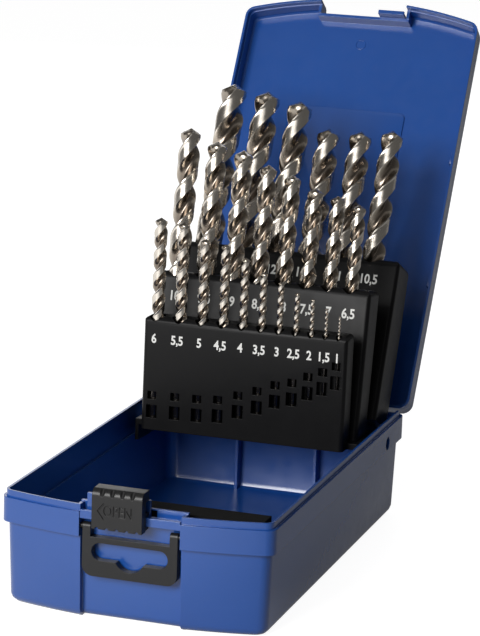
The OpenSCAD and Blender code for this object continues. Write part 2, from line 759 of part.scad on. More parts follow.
module front_drill(i) row_drill(front_lean, front_x(i), front_face_w, front_d[i],
    front_floors[i], front_len[i], front_flute[i]);
module middle_drill(i) row_drill(middle_lean, middle_x(i), middle_face_w, middle_d[i],
    middle_floors[i], middle_len[i], middle_flute[i]);
module rear_drill(i) row_drill(rear_lean, rear_x(i), rear_face_w, rear_d[i],
    rear_floors[i], rear_len[i], rear_flute[i]);

// Slider: a cap over the rail and the guide plate, open at the back.
module slider_cap() {
    r = slider_edge_r;
    x = [slider_x, slider_x + slider_w];
    y = slider_front_y;
    top_skin = slider_t + 2.6;
    groove_tilt = 38;
    groove_l = r + 3;
    difference() {
        union() {
            box(x, [y, slider_back_y], [slider_foot_z, slider_top_z - r]);
            box(x, [y + r, slider_back_y], [slider_top_z - r - PAST, slider_top_z]);
            along_x(x, y + r, slider_top_z - r, r);
        }
        box([x[0] + slider_t, x[1] - slider_t], [y + slider_t, slider_back_y + PAST],
            [slider_foot_z - PAST, slider_top_z - top_skin]);
        box([x[0] - PAST, x[1] + PAST], [rail_front_y - latch_gap, slider_back_y + PAST],
            [slider_foot_z - PAST, guide_z + latch_gap]);
        box([x[0] - PAST, x[1] + PAST], [slider_back_y, slider_back_y + r],
            [slider_top_z - 2 * r, slider_top_z + PAST]);
        for (i = [1:groove_count]) {
            gx = x[0] + slider_w * i / (groove_count + 1);
            translate([gx, y - 0.2, slider_top_z - r + 1.6]) rotate([-groove_tilt, 0, 0])
                cylinder(r = groove_r, h = groove_l, center = true);
        }
        for (i = [0:groove_count]) {
            gx = x[0] + slider_w * (i + 0.5) / (groove_count + 1);
            translate([gx, y - PAST, slider_foot_z]) rotate([-90, 0, 0])
                cylinder(r = scallop_r, h = slider_t + PAST + 0.1);
        }
    }
}

// The upper rib passes over the lid's catch when the slider is pushed across.
module latch_slider() {
    x = [slider_x, slider_x + slider_w];
    y = slider_front_y;
    hook_front = rail_front_y + rail_t + latch_gap;
    hook_back = guide_y[0] - latch_gap;
    foot = slider_foot_z + 0.4;
    hook_z = rail_top_z + latch_gap;
    rib_z = lid_bay_z - catch_l + catch_bead + latch_gap;
    rib_h = 1.2;
    color(BLACK) {
        slider_cap();
        box(x, [y + slider_t - 0.1, hook_back], [foot, rail_foot_z - latch_gap]);
        box(x, [hook_front, hook_back], [foot, web_z[0] - latch_gap]);
        box(x, [y + slider_t - 0.1, hook_back], [rib_z, rib_z + rib_h]);
        box(x, [y + slider_t - 0.1, hook_front + 1], [hook_z, rib_z + rib_h]);
        box(x, [hook_front, hook_front + 1], [web_z[1] + latch_gap, rib_z + rib_h]);
    }
}

// Hanger: ears at the top, a crossbar and a slot with a hook recess.
module hanger() {
    x = hanger_w / 2;
    slot_top = crossbar_z - crossbar_h;
    slot_foot = slot_top - slot_h;
    sr = slot_h / 2;
    lower_r = 4.5;
    hook_lift = 0.6;
    color(BLACK) {
        both_sides() {
            box([x - ear_w, x], [hanger_y - hanger_t, hanger_y], [crossbar_z - PAST, hanger_axis_z]);
            along_x([x - ear_w, x], hanger_axis_y, hanger_axis_z, ear_r);
            along_x([x - ear_w, x + 1.8], hanger_axis_y, hanger_axis_z, hanger_pin_r);
        }
        difference() {
            translate([0, hanger_y, 0]) rotate([90, 0, 0]) linear_extrude(hanger_t) {
                translate([-x, hanger_foot_z + lower_r]) square([2 * x, crossbar_z - hanger_foot_z - lower_r]);
                translate([-x + lower_r, hanger_foot_z]) square([2 * (x - lower_r), lower_r + PAST]);
                for (s = [-1, 1]) translate([s * (x - lower_r), hanger_foot_z + lower_r]) circle(r = lower_r);
            }
            translate([0, hanger_y + PAST, 0]) rotate([90, 0, 0]) linear_extrude(hanger_t + 2 * PAST) {
                translate([-slot_w / 2 + sr, slot_foot]) square([slot_w - slot_h, slot_h]);
                for (s = [-1, 1]) translate([s * (slot_w / 2 - sr), slot_foot + sr]) circle(r = sr);
                intersection() {
                    translate([0, slot_foot + sr - hook_lift]) circle(r = hook_r);
                    translate([-hook_r, hanger_foot_z]) square([2 * hook_r, slot_foot + sr - hanger_foot_z]);
                }
            }
        }
    }
}

base_tray();
foam_strip();
hinge_pin_left();
hinge_pin_right();
pivot_pin_left();
pivot_pin_right();
lid_shell();
front_block();
front_arm_left();
front_arm_right();
middle_block();
middle_arm_left();
middle_arm_right();
rear_block();
latch_slider();
hanger();
for (i = [0:10]) front_drill(i);
for (i = [0:7]) middle_drill(i);
for (i = [0:5]) rear_drill(i);
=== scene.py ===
"""Looks of an open drill bit case: blue mouldings, black socket blocks, twist drills, stage."""

import math

import bmesh
import bpy
from bpy.props import FloatProperty, FloatVectorProperty, IntProperty, PointerProperty
from mathutils import Matrix, Vector


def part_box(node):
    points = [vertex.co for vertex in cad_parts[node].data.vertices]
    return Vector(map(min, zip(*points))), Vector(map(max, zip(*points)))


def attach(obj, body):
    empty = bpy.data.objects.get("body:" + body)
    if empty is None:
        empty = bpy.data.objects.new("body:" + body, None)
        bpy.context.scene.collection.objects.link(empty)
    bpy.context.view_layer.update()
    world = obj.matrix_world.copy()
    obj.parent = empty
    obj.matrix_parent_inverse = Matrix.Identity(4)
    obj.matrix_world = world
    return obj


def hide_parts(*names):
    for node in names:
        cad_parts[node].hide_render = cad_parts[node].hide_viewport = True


bl_info = {
    "name": "Drill bit case",
    "version": (1, 0, 0),
    "blender": (4, 5, 0),
    "location": "View3D > Sidebar > Drill case",
    "description": "Dresses the packed frame of a folding drill bit case",
    "category": "Object",
}

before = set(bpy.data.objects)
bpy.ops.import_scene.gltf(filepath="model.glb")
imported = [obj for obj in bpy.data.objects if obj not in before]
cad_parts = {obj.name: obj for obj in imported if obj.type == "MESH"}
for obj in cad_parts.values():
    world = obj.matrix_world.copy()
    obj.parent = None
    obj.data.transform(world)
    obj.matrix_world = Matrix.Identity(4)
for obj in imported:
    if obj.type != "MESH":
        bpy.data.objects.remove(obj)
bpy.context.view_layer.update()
MM = 0.001

# The case's fixed layout in millimetres and degrees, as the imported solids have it. In each row,
# lean is the block's tilt backwards, face is its front face from the pivot, and margins run from
# its ends to the first and the last drill. taper is the last pitch as a part of the first, label
# and floor are heights in the block, and lead is the flutes' lead in diameters. shift moves the
# first label, the last label and the middle ones sideways.
PIVOT = (68.8, 38.5)
LID_AXIS = (99.6, 44.7)
LID_ANGLE = 121.2
ROWS = {
    "front": {
        "body": "front_block", "lean": 2.0, "face": -35.2, "width": 94.4,
        "margins": (5.0, 4.4), "taper": 0.56, "label": 43.9,
        "digit": 5.7, "shift": (0.0, 0.0, 0.0), "lead": 3.3,
        "d": (6, 5.5, 5, 4.5, 4, 3.5, 3, 2.5, 2, 1.5, 1),
        "length": (93, 93, 86, 80, 75, 70, 61, 57, 49, 40, 34),
        "flute": (57, 57, 52, 47, 43, 39, 33, 30, 24, 18, 12),
        "floor": (5, 4, 4.5, 9, 9, 8.5, 14, 14, 20, 25.5, 28.5),
    },
    "middle": {
        "body": "middle_block", "lean": 11.4, "face": -22.6, "width": 100.0,
        "margins": (7.4, 10.1), "taper": 0.76, "label": 56.8,
        "digit": 6.1, "shift": (1.4, 0.7, 1.7), "lead": 3.7,
        "d": (10, 9.5, 9, 8.5, 8, 7.5, 7, 6.5),
        "length": (133, 125, 125, 117, 117, 109, 109, 101),
        "flute": (87, 81, 81, 75, 75, 69, 69, 63),
        "floor": (0, 3, 0, 2.5, -1, 2, -0.5, 4.5),
    },
    "rear": {
        "body": "rear_block", "lean": 24.8, "face": -6.2, "width": 105.4,
        "margins": (10.9, 14.5), "taper": 0.88, "label": 72.8,
        "digit": 6.1, "shift": (1.0, 1.0, 0.0), "lead": 3.9,
        "d": (13, 12.5, 12, 11.5, 11, 10.5),
        "length": (151, 151, 151, 142, 142, 133),
        "flute": (101, 101, 101, 94, 94, 87),
        "floor": (10.5, 8, 4.5, 1.5, 1.5, 12),
    },
}


def linear(text):
    """An sRGB hex colour as linear red, green, blue and full alpha."""
    parts = [int(text[i : i + 2], 16) / 255 for i in (1, 3, 5)]
    flat = [c / 12.92 if c <= 0.04045 else ((c + 0.055) / 1.055) ** 2.4 for c in parts]
    return (*flat, 1.0)


def colour(text, words):
    """A colour property with the hex value as its default."""
    return FloatVectorProperty(
        name=words, description=words, subtype="COLOR", size=4, min=0, max=1, default=linear(text)
    )


def number(words, meaning, value, **settings):
    """A property that holds a size, a strength or an angle."""
    return FloatProperty(name=words, description=meaning, default=value, **settings)


class CaseColours(bpy.types.PropertyGroup):
    """Colours of the case's mouldings and print."""

    case: colour("#184892", "Blue of the tray and the lid")
    block: colour("#0F0F10", "Black of the socket blocks")
    latch: colour("#171718", "Grey-black of the slider and the hanger")
    foam: colour("#0C0C0D", "Black of the foam strip")
    steel: colour("#CFC8BE", "Bright ground steel of the drills")
    # The flutes' colour is their duller steel together with painted shade; the colour of the flute
    # bottoms is painted shade.
    flute: colour("#A69D91", "Steel in the flutes")
    shade: colour("#7A7066", "Steel in the bottom of the flutes")
    # The shanks are painted dark, as painted shade and painted dark reflections inside the sockets;
    # the steel itself is bright.
    shank_in_shade: colour("#5A5653", "Steel of the shanks")
    label: colour("#E9E9E6", "White of the printed sizes")
    floor: colour("#8E8E8E", "Board under the white light of the floor")


class DrillShape(bpy.types.PropertyGroup):
    """Shape of the drills' flutes and points."""

    steps: IntProperty(name="Steps", description="Rings of the mesh in one turn", default=26)
    point: number("Point angle", "Included angle of the points", math.radians(122), subtype="ANGLE")
    web: number("Web", "Core radius as a part of the drill's radius", 0.33)
    facet: number("Point facets", "How far the point is a pyramid: 0 for a ridge", 0.8)


class LabelShape(bpy.types.PropertyGroup):
    """Printed drill sizes on the blocks."""

    narrow: number("Digit width", "Width of the printed digits as a part of the font's", 0.84)
    bold: number("Boldness", "How far the strokes are swelled, in millimetres", 0.15)
    proud: number("Print height", "How far it stands off the block", 0.04 * MM, unit="LENGTH")


class StageSettings(bpy.types.PropertyGroup):
    """Floor, light and camera."""

    key: number("Key light", "Power of the large front light", 16.5, unit="POWER")
    fill: number("Top light", "Power of the top light", 1.0, unit="POWER")
    card: number("Front card", "Power of the wide card that the steel mirrors", 6.0, unit="POWER")
    back: number("Back light", "Power of the light behind the lid", 3.0, unit="POWER")
    world: number("World light", "Strength of the even light", 0.12)
    lens: number("Lens", "Focal length in millimetres", 158.58)


# ---------------------------------------------------------------- small tools


def add_node(tree, kind, values=None, links=None, **settings):
    """Adds a node with its settings, its socket values and the links into it."""
    made = tree.nodes.new(kind)
    for name, value in settings.items():
        setattr(made, name, value)
    for name, value in (values or {}).items():
        made.inputs[name].default_value = value
    for name, source in (links or {}).items():
        tree.links.new(source, made.inputs[name])
    return made


def blend(tree, factor, first, second):
    """A colour between two others."""
    mix = add_node(tree, "ShaderNodeMix", None, {"Factor": factor}, data_type="RGBA")
    mix.inputs[6].default_value = first
    mix.inputs[7].default_value = second
    return mix.outputs[2]


def start_material(name):
    """A new empty material with its output node."""
    mat = bpy.data.materials.new(name)
    mat.use_nodes = True
    mat.node_tree.nodes.clear()
    return mat, mat.node_tree


def shade(mesh, angle):
    """Shades a mesh smoothly and keeps its edges over an angle in degrees sharp."""
    names = ("custom_normal", "sharp_face", "sharp_edge")
    for spare in [a for a in mesh.attributes if a.name in names]:
        mesh.attributes.remove(spare)
    mesh.polygons.foreach_set("use_smooth", [True] * len(mesh.polygons))
    mesh.set_sharp_from_angle(angle=math.radians(angle))


def keep_piece(bm, name, mat, body, replaces=(), smooth=35):
    """Turns a bmesh into a piece that rides on a body."""
    mesh = bpy.data.meshes.new(name)
    bm.to_mesh(mesh)
    bm.free()
    shade(mesh, smooth)
    mesh.materials.append(mat)
    piece = bpy.data.objects.new(name, mesh)
    bpy.context.scene.collection.objects.link(piece)
    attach(piece, body)
    if replaces:
        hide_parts(*replaces)
    return piece


def smooth_copy(node, name, mat, body, smooth=30):
    """A merged copy of a CAD node that can be shaded smoothly."""
    bm = bmesh.new()
    bm.from_mesh(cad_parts[node].data)
    bmesh.ops.remove_doubles(bm, verts=bm.verts, dist=0.002 * MM)
    return keep_piece(bm, name, mat, body, (node,), smooth)


def block_place(row):
    """From a block's own frame, in millimetres, to the case in metres."""
    r = ROWS[row]
    return (
        Matrix.Scale(MM, 4)
        @ Matrix.Translation((0, PIVOT[0], PIVOT[1]))
        @ Matrix.Rotation(-math.radians(r["lean"]), 4, "X")
    )


def lid_place():
    """From the closed lid, in millimetres, to the open lid in metres."""
    return (
        Matrix.Scale(MM, 4)
        @ Matrix.Translation((0, LID_AXIS[0], LID_AXIS[1]))
        @ Matrix.Rotation(-math.radians(LID_ANGLE), 4, "X")
        @ Matrix.Translation((0, -LID_AXIS[0], -LID_AXIS[1]))
    )


def row_x(row, i):
    """Place of a drill along its row."""
    r = ROWS[row]
    n = len(r["d"])
    first, last = r["margins"]
    pitch = (r["width"] - first - last) / ((n - 1) * (1 + r["taper"]) / 2)
    return -r["width"] / 2 + first + pitch * (i - i * (i - 1) / 2 * (1 - r["taper"]) / (n - 2))


def socket_y(row, i):
    """Depth of a drill's axis in its block."""
    return ROWS[row]["face"] + 1.15 + ROWS[row]["d"][i] / 2


def drill_node(row, i):
    """Name of a drill's node and body."""
    return "drill_" + ("%.1f" % ROWS[row]["d"][i]).replace(".", "_")


def size_text(d):
    """A size as it is printed, with a decimal comma."""
    return ("%g" % d).replace(".", ",")


# ------------------------------------------------------------------ materials

# Places of the steel's colours along the depth attribute, which is 0 on a land and 1 on a shank:
# the steel darkens into the flutes as painted shade, and the shank's dark colour is painted shade
# too.
FLUTE_EDGE = 0.14
FLUTE_BOTTOM = 0.6

# Lengths on a drill, as parts of its diameter: where the flutes run out into the shank, and
# where they fade again before the point. FADE_SHARE is how far they fade.
RUNOUT = 1.1
FADE_START = 0.8
FADE_LENGTH = 0.45
FADE_SHARE = 0.75

# Radii on a drill, as parts of its own: where the flutes begin, behind the point, where
# painted_shade_depth starts to rise, and how far it goes down to the full value.
ROOT_RADIUS = 0.995
POINT_RADIUS = 0.97
LAND_RADIUS = 0.95
DEPTH_SPAN = 0.75


def moulded(name, base, rough, grain_mm, grain, edge_mm, ior=1.5, gloss=0.5, uneven=0.04):
    """Moulded plastic: grain in the bump, soft edges, faint unevenness of colour and gloss."""
    mat, tree = start_material(name)
    place = add_node(tree, "ShaderNodeTexCoord").outputs["Object"]
    cloud = add_node(tree, "ShaderNodeTexNoise", {"Scale": 30.0, "Detail": 3.0}, {"Vector": place})
    low = (*[c * (1 - 2 * uneven) for c in base[:3]], 1.0)
    high = (*[min(1.0, c * (1 + 2 * uneven)) for c in base[:3]], 1.0)
    tint = blend(tree, cloud.outputs["Fac"], low, high)
    rub = add_node(tree, "ShaderNodeTexNoise", {"Scale": 210.0, "Detail": 4.0}, {"Vector": place})
    dull = add_node(
        tree, "ShaderNodeMapRange", {"To Min": rough - 0.05, "To Max": rough + 0.06},
        {"Value": rub.outputs["Fac"]},
    )
    texture = add_node(
        tree, "ShaderNodeTexNoise", {"Scale": 1000.0 / grain_mm, "Detail": 2.0}, {"Vector": place}
    )
    soft = add_node(tree, "ShaderNodeBevel", {"Radius": edge_mm * MM}, samples=6)
    bump = add_node(
        tree, "ShaderNodeBump", {"Strength": grain, "Distance": 0.05 * MM},
        {"Height": texture.outputs["Fac"], "Normal": soft.outputs["Normal"]},
    )
    shader = add_node(
        tree, "ShaderNodeBsdfPrincipled", {"IOR": ior, "Specular IOR Level": gloss},
        {
            "Base Color": tint, "Roughness": dull.outputs["Result"],
            "Normal": bump.outputs["Normal"],
        },
    )
    add_node(tree, "ShaderNodeOutputMaterial", None, {"Surface": shader.outputs["BSDF"]})
    return mat


def make_materials():
    """Every finish of the case, by the name that the pieces use."""
    col = bpy.context.scene.case_colours
    return {
        # Glossy ABS from a polished mould: deep even blue, tight highlights, a faint ripple.
        "case": moulded(
            "abs_gloss_blue", col.case, rough=0.22, grain_mm=1.6, grain=0.1, edge_mm=0.35,
            ior=1.53, gloss=0.65,
        ),
        # Polypropylene from an eroded mould: near black, satin, with fine grain over the gloss.
        "block": moulded(
            "polypropylene_satin_black", col.block, rough=0.36, grain_mm=0.45, grain=0.35,
            edge_mm=0.3, ior=1.49, gloss=0.12,
        ),
        # Acetal slider and hanger: a little greyer and glossier than the blocks.
        "latch": moulded(
            "acetal_satin_charcoal", col.latch, rough=0.36, grain_mm=0.4, grain=0.3, edge_mm=0.35,
            ior=1.48, gloss=0.35,
        ),
        # Polyurethane foam: open matte cells, about 1 mm across.
        "foam": moulded(
            "polyurethane_foam_black", col.foam, rough=0.88, grain_mm=0.9, grain=1.0, edge_mm=0.6,
            ior=1.4, gloss=0.3, uneven=0.25,
        ),
        "drill": drill_steel(),
        "pin": pin_steel(),
        "label": print_white(),
    }


def drill_steel():
    """High-speed steel, ground bright: lands shine, flutes are duller and warmer and darken to
    their bottoms as painted shade, and shanks are painted dark as shade.
    """
    col = bpy.context.scene.case_colours
    mat, tree = start_material("high_speed_steel_ground")
    place = add_node(tree, "ShaderNodeTexCoord").outputs["Object"]
    depth = add_node(tree, "ShaderNodeAttribute", attribute_name="painted_shade_depth")
    cloud = add_node(tree, "ShaderNodeTexNoise", {"Scale": 160.0, "Detail": 4.0}, {"Vector": place})
    # The ramp runs from the bright lands through the flutes' painted shade to the shanks' painted
    # shade.
    tint = add_node(tree, "ShaderNodeValToRGB", None, {"Fac": depth.outputs["Fac"]})
    stops = tint.color_ramp.elements
    stops[0].color = tuple(col.steel)
    stops[1].color = tuple(col.shank_in_shade)
    stops.new(FLUTE_EDGE).color = tuple(col.flute)
    stops.new(FLUTE_BOTTOM).color = tuple(col.shade)
    # Grinding lines lie across the drill, about 0.4 mm apart so that they show in the render.
    lines = add_node(tree, "ShaderNodeMapping", {"Scale": (60.0, 60.0, 2600.0)}, {"Vector": place})
    grind = add_node(
        tree, "ShaderNodeTexNoise", {"Scale": 1.0, "Detail": 2.0},
        {"Vector": lines.outputs["Vector"]},
    )
    rough = add_node(
        tree, "ShaderNodeMapRange", {"To Min": 0.18, "To Max": 0.32},
        {"Value": cloud.outputs["Fac"]},
    )
    bump = add_node(
        tree, "ShaderNodeBump", {"Strength": 0.14, "Distance": 0.02 * MM},
        {"Height": grind.outputs["Fac"]},
    )
    shader = add_node(
        tree, "ShaderNodeBsdfPrincipled", {"Metallic": 1.0},
        {
            "Base Color": tint.outputs["Color"], "Roughness": rough.outputs["Result"],
            "Normal": bump.outputs["Normal"],
        },
    )
    add_node(tree, "ShaderNodeOutputMaterial", None, {"Surface": shader.outputs["BSDF"]})
    return mat


def pin_steel():
    """Drawn wire: grey steel with lines along the pin, a third of a millimetre apart."""
    mat, tree = start_material("steel_wire_drawn")
    place = add_node(tree, "ShaderNodeTexCoord").outputs["Object"]
    lines = add_node(
        tree, "ShaderNodeMapping", {"Scale": (40.0, 3000.0, 3000.0)}, {"Vector": place}
    )
    draw = add_node(
        tree, "ShaderNodeTexNoise", {"Scale": 1.0, "Detail": 2.0},
        {"Vector": lines.outputs["Vector"]},
    )
    rough = add_node(
        tree, "ShaderNodeMapRange", {"To Min": 0.22, "To Max": 0.42},
        {"Value": draw.outputs["Fac"]},
    )
    shader = add_node(
        tree, "ShaderNodeBsdfPrincipled", {"Metallic": 1.0, "Base Color": linear("#A9A9A6")},
        {"Roughness": rough.outputs["Result"]},
    )
    add_node(tree, "ShaderNodeOutputMaterial", None, {"Surface": shader.outputs["BSDF"]})
    return mat


def print_white():
    """Pad-printed white ink: opaque, slightly uneven, matte."""
    mat, tree = start_material("ink_pad_printed_white")
    place = add_node(tree, "ShaderNodeTexCoord").outputs["Object"]
    thin = add_node(tree, "ShaderNodeTexNoise", {"Scale": 1500.0, "Detail": 3.0}, {"Vector": place})
    white = tuple(bpy.context.scene.case_colours.label)
    tint = blend(tree, thin.outputs["Fac"], linear("#C9C9C6"), white)
    shader = add_node(tree, "ShaderNodeBsdfPrincipled", {"Roughness": 0.6}, {"Base Color": tint})
    add_node(tree, "ShaderNodeOutputMaterial", None, {"Surface": shader.outputs["BSDF"]})
    return mat


FINISHES = {}


def finish(name):
    """The material of that name, made once."""
    if not FINISHES:
        FINISHES.update(make_materials())
    return FINISHES[name]


# --------------------------------------------------------------------- pieces


def flute_section(web):
    """Half of a two-flute section: angle in degrees, radius as a part of the drill's radius."""
    return (
        (-40, 1.0), (-34, 1.0), (-31, 0.965), (-18, 0.96), (0, 0.96), (18, 0.96), (36, 0.955),
        (43, 0.86), (50, 0.68), (60, 0.51), (73, 0.39), (90, web), (107, web), (122, 0.44),
        (132, 0.62), (137, 0.82),
    )


def smoothed(t):
    """A ramp from 0 to 1 with soft ends, for t cut to that range."""
    t = min(1.0, max(0.0, t))
    return t * t * (3 - 2 * t)


def build_drill(bm, d, length, flute, lead, shape):
    """A drill standing on z = 0 in millimetres: shank, run-out, flutes and point."""
    r = d / 2
    tip = r / math.tan(shape.point / 2)
    start = length - flute
    rate = 2 * math.pi / (lead * d)
    depth = bm.verts.layers.float.new("painted_shade_depth")
    ring = []
    for turn in (0, 180):
        for angle, part in flute_section(shape.web):
            a = math.radians(angle + turn)
            ring.append(bm.verts.new((r * part * math.cos(a), r * part * math.sin(a), start)))
    face = bm.faces.new(ring)
    tall = flute - tip
    steps = max(8, int(tall * rate / (2 * math.pi) * shape.steps))
    turned = bmesh.ops.spin(
        bm, geom=[face] + ring + list(face.edges), cent=(0, 0, 0), axis=(0, 0, 1),
        dvec=(0, 0, tall / steps), angle=tall * rate, steps=steps,
        use_merge=False, use_duplicate=False,
    )
    bmesh.ops.spin(
        bm, geom=turned["geom_last"], cent=(0, 0, 0), axis=(0, 0, 1),
        dvec=(0, 0, tip / 6), angle=tip * rate, steps=6, use_merge=False, use_duplicate=False,
    )
    for v in bm.verts:
        out = math.hypot(v.co.x, v.co.y)
        # The flutes grow out of the shank, and fade again so that the point keeps its full width.
        grown = smoothed((v.co.z - start) / (RUNOUT * d))
        near = FADE_SHARE * smoothed((v.co.z - length + FADE_START * d) / (FADE_LENGTH * d))
        # Deeper in a flute the steel gets a darker colour: painted shade.
        deep = max(0.0, (LAND_RADIUS - out / r) / DEPTH_SPAN)
        v[depth] = min(FLUTE_BOTTOM, deep) * grown * (1 - near)
        wanted = r * ROOT_RADIUS + (out - r * ROOT_RADIUS) * grown
        wanted += (POINT_RADIUS * r - wanted) * near
        # The point is a low pyramid whose long edges follow the lips.
        aside = math.atan2(v.co.y, v.co.x) - flute * rate
        facet = abs(math.cos(aside)) + shape.facet * abs(math.sin(aside))
        left = max(0.0, (length - v.co.z) * math.tan(shape.point / 2))
        wanted = min(wanted, left / facet + 0.02 * r)
        if out > 1e-9:
            v.co.x *= wanted / out
            v.co.y *= wanted / out
    bmesh.ops.remove_doubles(bm, verts=bm.verts, dist=0.0005)
    bmesh.ops.recalc_face_normals(bm, faces=bm.faces)
    shank_in_shade = bmesh.ops.create_cone(
        bm, cap_ends=True, segments=40, radius1=r, radius2=r, depth=start + 0.02,
        matrix=Matrix.Translation((0, 0, start / 2)),
    )["verts"]
    for v in shank_in_shade:
        # The shanks take the darkest colour, painted shade.
        v[depth] = 1.0
    foot = {v for v in shank_in_shade if v.co.z < 0.1}
    low = [e for e in bm.edges if all(v in foot for v in e.verts)]
    bmesh.ops.bevel(
        bm, geom=low, offset=0.08 * d, segments=2, profile=0.5, affect="EDGES", material=-1
    )


class CASE_OT_drills(bpy.types.Operator):
    """Makes the twist drills, each in its own socket"""

    bl_idname = "case.drills"
    bl_label = "Drills"

    def execute(self, context):
        shape = context.scene.drill_shape
        for row, r in ROWS.items():
            for i, d in enumerate(r["d"]):
                bm = bmesh.new()
                build_drill(bm, d, r["length"][i], r["flute"][i], r["lead"], shape)
                lips = 2 * math.pi * r["flute"][i] / (r["lead"] * d)
                # The points face nearly the same way, as the drills stand in the photograph.
                turn = Matrix.Rotation(math.radians(9 * (i % 3) + 4) - lips, 4, "Z")
                stand = Matrix.Translation((row_x(row, i), socket_y(row, i), r["floor"][i]))
                bmesh.ops.transform(bm, matrix=block_place(row) @ stand @ turn, verts=bm.verts)
                node = drill_node(row, i)
                keep_piece(bm, "twist_" + node, finish("drill"), node, (node,), 38)
        return {"FINISHED"}


class CASE_OT_blocks(bpy.types.Operator):
    """Makes the three socket blocks"""

    bl_idname = "case.blocks"
    bl_label = "Socket blocks"

    def execute(self, context):
        for row, r in ROWS.items():
            smooth_copy(r["body"], "socket_" + r["body"], finish("block"), r["body"])
        return {"FINISHED"}


def flat_text(words, size, name, bold=0.0, thick=0.0):
    """A mesh of words, centred on its origin, in its own plane XY."""
    curve = bpy.data.curves.new(name, "FONT")
    curve.body = words
    curve.size = size
    curve.align_x = "CENTER"
    curve.align_y = "CENTER"
    curve.resolution_u = 3
    curve.offset = bold
    curve.extrude = thick
    holder = bpy.data.objects.new(name, curve)
    mesh = bpy.data.meshes.new_from_object(holder)
    bpy.data.objects.remove(holder)
    bpy.data.curves.remove(curve)
    return mesh


class CASE_OT_labels(bpy.types.Operator):
    """Prints the drill sizes on the front faces of the blocks"""

    bl_idname = "case.labels"
    bl_label = "Printed sizes"

    def execute(self, context):
        shape = context.scene.label_shape
        for row, r in ROWS.items():
            bm = bmesh.new()
            first, last, bulge = r["shift"]
            narrow = Matrix.Diagonal((shape.narrow, 1.0, 1.0, 1.0))
            upright = Matrix.Rotation(math.pi / 2, 4, "X") @ narrow
            for i, d in enumerate(r["d"]):
                t = i / (len(r["d"]) - 1)
                x = row_x(row, i) + first + (last - first) * t + 4 * bulge * t * (1 - t)
                spot = Matrix.Translation((x, r["face"] - shape.proud / MM, r["label"]))
                mesh = flat_text(size_text(d), r["digit"], "size", shape.bold)
                mesh.transform(block_place(row) @ spot @ upright)
                bm.from_mesh(mesh)
                bpy.data.meshes.remove(mesh)
            keep_piece(bm, "sizes_" + row, finish("label"), r["body"])
        return {"FINISHED"}


def box_between(bm, low, high):
    """Adds a box between two corners and returns its vertices."""
    size = Vector(high) - Vector(low)
    middle = (Vector(high) + Vector(low)) / 2
    place = Matrix.Translation(middle) @ Matrix.Diagonal((size.x, size.y, size.z, 1))
    return bmesh.ops.create_cube(bm, size=1.0, matrix=place)["verts"]


def soft_edges(bm, verts, offset, segments=3, upright=False):
    """Rounds the edges of some vertices, or only the upright ones."""
    picked = set(verts)
    edges = [e for e in bm.edges if e.verts[0] in picked and e.verts[1] in picked]
    if upright:
        edges = [e for e in edges if abs((e.verts[0].co - e.verts[1].co).normalized().z) > 0.9]
    bmesh.ops.bevel(
        bm, geom=edges, offset=offset, segments=segments, profile=0.5, affect="EDGES", material=-1
    )


class CASE_OT_lid_details(bpy.types.Operator):
    """Adds the panel, the ejector ring and the side clips inside the lid"""

    bl_idname = "case.lid_details"
    bl_label = "Lid details"

    def execute(self, context):
        # Places in the closed lid, in millimetres: the face of its roof, and the side clips.
        inside, clip_x, clip_l = 55.4, 56.2, 6.0
        turn = lid_place()
        bm = bmesh.new()
        panel = box_between(bm, (-30.0, -52.0, inside - 0.7), (28.3, 70.0, inside + 0.3))
        soft_edges(bm, panel, 3.0, 6, upright=True)
        rim = [e for e in bm.edges if all(v.co.z < inside - 0.3 for v in e.verts)]
        bmesh.ops.bevel(
            bm, geom=rim, offset=0.3, segments=2, profile=0.5, affect="EDGES", material=-1
        )
        bmesh.ops.transform(bm, matrix=turn, verts=bm.verts)
        keep_piece(bm, "lid_panel", finish("case"), "lid")
        bm = bmesh.new()
        section = Matrix.Translation((2.4, 0, 0)) @ Matrix.Rotation(math.pi / 2, 4, "X")
        wire = bmesh.ops.create_circle(bm, segments=12, radius=0.22, matrix=section)
        bmesh.ops.spin(
            bm, geom=wire["verts"] + bm.edges[:], cent=(0, 0, 0), axis=(0, 0, 1),
            angle=2 * math.pi, steps=40, use_merge=True,
        )
        bmesh.ops.remove_doubles(bm, verts=bm.verts, dist=0.001)
        bmesh.ops.recalc_face_normals(bm, faces=bm.faces)
        spot = turn @ Matrix.Translation((-0.5, -86.3, inside))
        bmesh.ops.transform(bm, matrix=spot, verts=bm.verts)
        keep_piece(bm, "lid_ejector_ring", finish("case"), "lid")
        bm = bmesh.new()
        for x in (-clip_x, clip_x):
            for y in (-32.0, 30.0):
                clip = box_between(bm, (x - 0.7, y, 48.6), (x + 0.7, y + clip_l, 54.6))
                soft_edges(bm, clip, 0.3, 2)
        bmesh.ops.transform(bm, matrix=turn, verts=bm.verts)
        keep_piece(bm, "lid_side_clips", finish("case"), "lid")
        return {"FINISHED"}


def carve(piece, cutter):
    """Cuts one mesh out of a piece and keeps the piece's place and name."""
    tool = bpy.data.objects.new("cutter", cutter)
    bpy.context.scene.collection.objects.link(tool)
    cut = piece.modifiers.new("engraving", "BOOLEAN")
    cut.operation = "DIFFERENCE"
    cut.solver = "EXACT"
    cut.object = tool
    shown = piece.evaluated_get(bpy.context.evaluated_depsgraph_get())
    mesh = bpy.data.meshes.new_from_object(shown)
    if len(mesh.polygons) < len(piece.data.polygons):
        raise RuntimeError("the engraving left no slider")
    piece.modifiers.remove(cut)
    shade(mesh, 25)
    old = piece.data
    piece.data = mesh
    bpy.data.meshes.remove(old)
    bpy.data.objects.remove(tool)
    bpy.data.meshes.remove(cutter)


